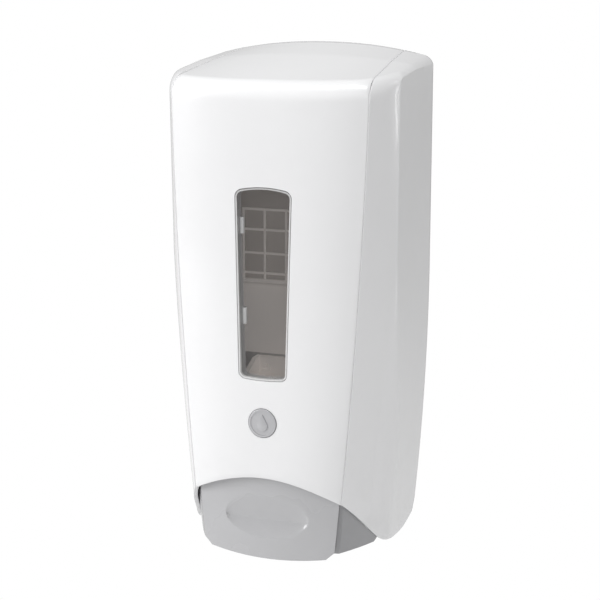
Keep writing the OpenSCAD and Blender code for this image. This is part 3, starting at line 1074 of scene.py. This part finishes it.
def area_light(name, size, power, spot, aim):
    """A white rectangular lamp of a size in metres and a power in watts, aimed at a point."""
    deselect()
    bpy.ops.object.light_add(type="AREA", location=spot)
    lamp = bpy.context.object
    lamp.name = name
    lamp.data.shape = "RECTANGLE"
    lamp.data.size, lamp.data.size_y = size
    lamp.data.energy = power
    lamp.rotation_euler = (Vector(aim) - Vector(spot)).to_track_quat("-Z", "Y").to_euler()


class DISPENSER_OT_stage(bpy.types.Operator):
    """Pale floor, soft lights and the camera"""

    bl_idname = "dispenser.stage"
    bl_label = "Stage"

    def execute(self, context):
        deselect()
        bpy.ops.mesh.primitive_plane_add(size=12, location=(0, 0, CAD_BOX[0][2] - 0.16))
        floor = bpy.context.object
        floor.name = "floor"
        fin = Finish("pale_floor")
        fin.set(Base_Color=fin.blend(fin.noise(3.0), (0.84, 0.84, 0.84), (0.88, 0.88, 0.88)))
        fin.set(Roughness=0.8)
        pale = fin.tree.nodes.new("ShaderNodeEmission")
        pale.inputs["Strength"].default_value = 1.0
        ray = fin.node("ShaderNodeLightPath", out="Is Camera Ray")
        both = fin.node("ShaderNodeMixShader", None, {0: ray})
        shown = fin.tree.nodes["Material Output"].inputs["Surface"]
        fin.tree.links.new(fin.shader.outputs[0], both.out.node.inputs[1])
        fin.tree.links.new(pale.outputs[0], both.out.node.inputs[2])
        fin.tree.links.new(both.out, shown)
        floor.data.materials.append(fin.material)

        world = bpy.data.worlds.new("soft_room")
        context.scene.world = world
        world.use_nodes = True
        tree = world.node_tree
        soft = tree.nodes["Background"]
        soft.inputs["Color"].default_value = (1, 1, 1, 1)
        soft.inputs["Strength"].default_value = 0.43
        bright = tree.nodes.new("ShaderNodeBackground")
        bright.inputs["Color"].default_value = (1, 1, 1, 1)
        bright.inputs["Strength"].default_value = 1.0
        choice = tree.nodes.new("ShaderNodeMixShader")
        seen = tree.nodes.new("ShaderNodeLightPath")
        tree.links.new(seen.outputs["Is Camera Ray"], choice.inputs[0])
        tree.links.new(soft.outputs[0], choice.inputs[1])
        tree.links.new(bright.outputs[0], choice.inputs[2])
        tree.links.new(choice.outputs[0], tree.nodes["World Output"].inputs["Surface"])

        area_light("key", (0.9, 1.4), 25.0, (-1.6, -1.1, 0.75), (0, -0.05, 0.0))
        area_light("fill", (0.8, 1.2), 3.0, (1.03, -1.47, 0.3), (0, -0.05, 0.0))
        area_light("ridge", (0.03, 1.2), 0.7, (0.9, 0.62, 0.15), (0.074, -0.07, 0.0))
        area_light("brow", (0.9, 0.5), 9.3, (0.05, -0.3, 1.45), (0, -0.06, 0.1))

        target = Vector((0.00817, -0.065, 0.00036))
        deselect()
        bpy.ops.object.camera_add()
        cam = bpy.context.object
        cam.name = "camera"
        yaw, pitch, far = math.radians(20.45), math.radians(12.08), 0.9529
        back = Vector(
            (math.sin(yaw) * math.cos(pitch), -math.cos(yaw) * math.cos(pitch), math.sin(pitch))
        )
        cam.location = target + back * far
        cam.rotation_euler = (-back).to_track_quat("-Z", "Y").to_euler()
        cam.data.lens = 91.17
        cam.data.sensor_width = 36
        cam.data.clip_start = 0.01
        context.scene.camera = cam
        context.scene.view_settings.view_transform = "Standard"
        return {"FINISHED"}


# --- Panel and registration -----------------------------------------------------------

PIECES = (
    DISPENSER_OT_front_panel,
    DISPENSER_OT_side_panels,
    DISPENSER_OT_window,
    DISPENSER_OT_badge,
    DISPENSER_OT_push_lever,
    DISPENSER_OT_lever_core,
    DISPENSER_OT_wall_unit,
    DISPENSER_OT_hardware,
    DISPENSER_OT_stage,
)


class DISPENSER_PT_pieces(bpy.types.Panel):
    """Lists the dispenser's sizes, colours and pieces"""

    bl_idname = "DISPENSER_PT_pieces"
    bl_label = "Soap dispenser"
    bl_space_type = "VIEW_3D"
    bl_region_type = "UI"
    bl_category = "Dispenser"

    def draw(self, context):
        for key in ("cover_tint", "lever_tint", "lens_tint", "wall", "seam", "dimple"):
            self.layout.prop(context.scene.dispenser, key)
        for piece in PIECES:
            self.layout.operator(piece.bl_idname)


def register():
    bpy.utils.register_class(DispenserSettings)
    for piece in PIECES:
        bpy.utils.register_class(piece)
    bpy.utils.register_class(DISPENSER_PT_pieces)
    bpy.types.Scene.dispenser = PointerProperty(type=DispenserSettings)


def unregister():
    del bpy.types.Scene.dispenser
    bpy.utils.unregister_class(DISPENSER_PT_pieces)
    for piece in reversed(PIECES):
        bpy.utils.unregister_class(piece)
    bpy.utils.unregister_class(DispenserSettings)


def main():
    register()
    bpy.ops.dispenser.front_panel()
    bpy.ops.dispenser.side_panels()
    bpy.ops.dispenser.window()
    bpy.ops.dispenser.badge()
    bpy.ops.dispenser.push_lever()
    bpy.ops.dispenser.lever_core()
    bpy.ops.dispenser.wall_unit()
    bpy.ops.dispenser.hardware()
    bpy.ops.dispenser.stage()


if __name__ == "__main__":
    main()
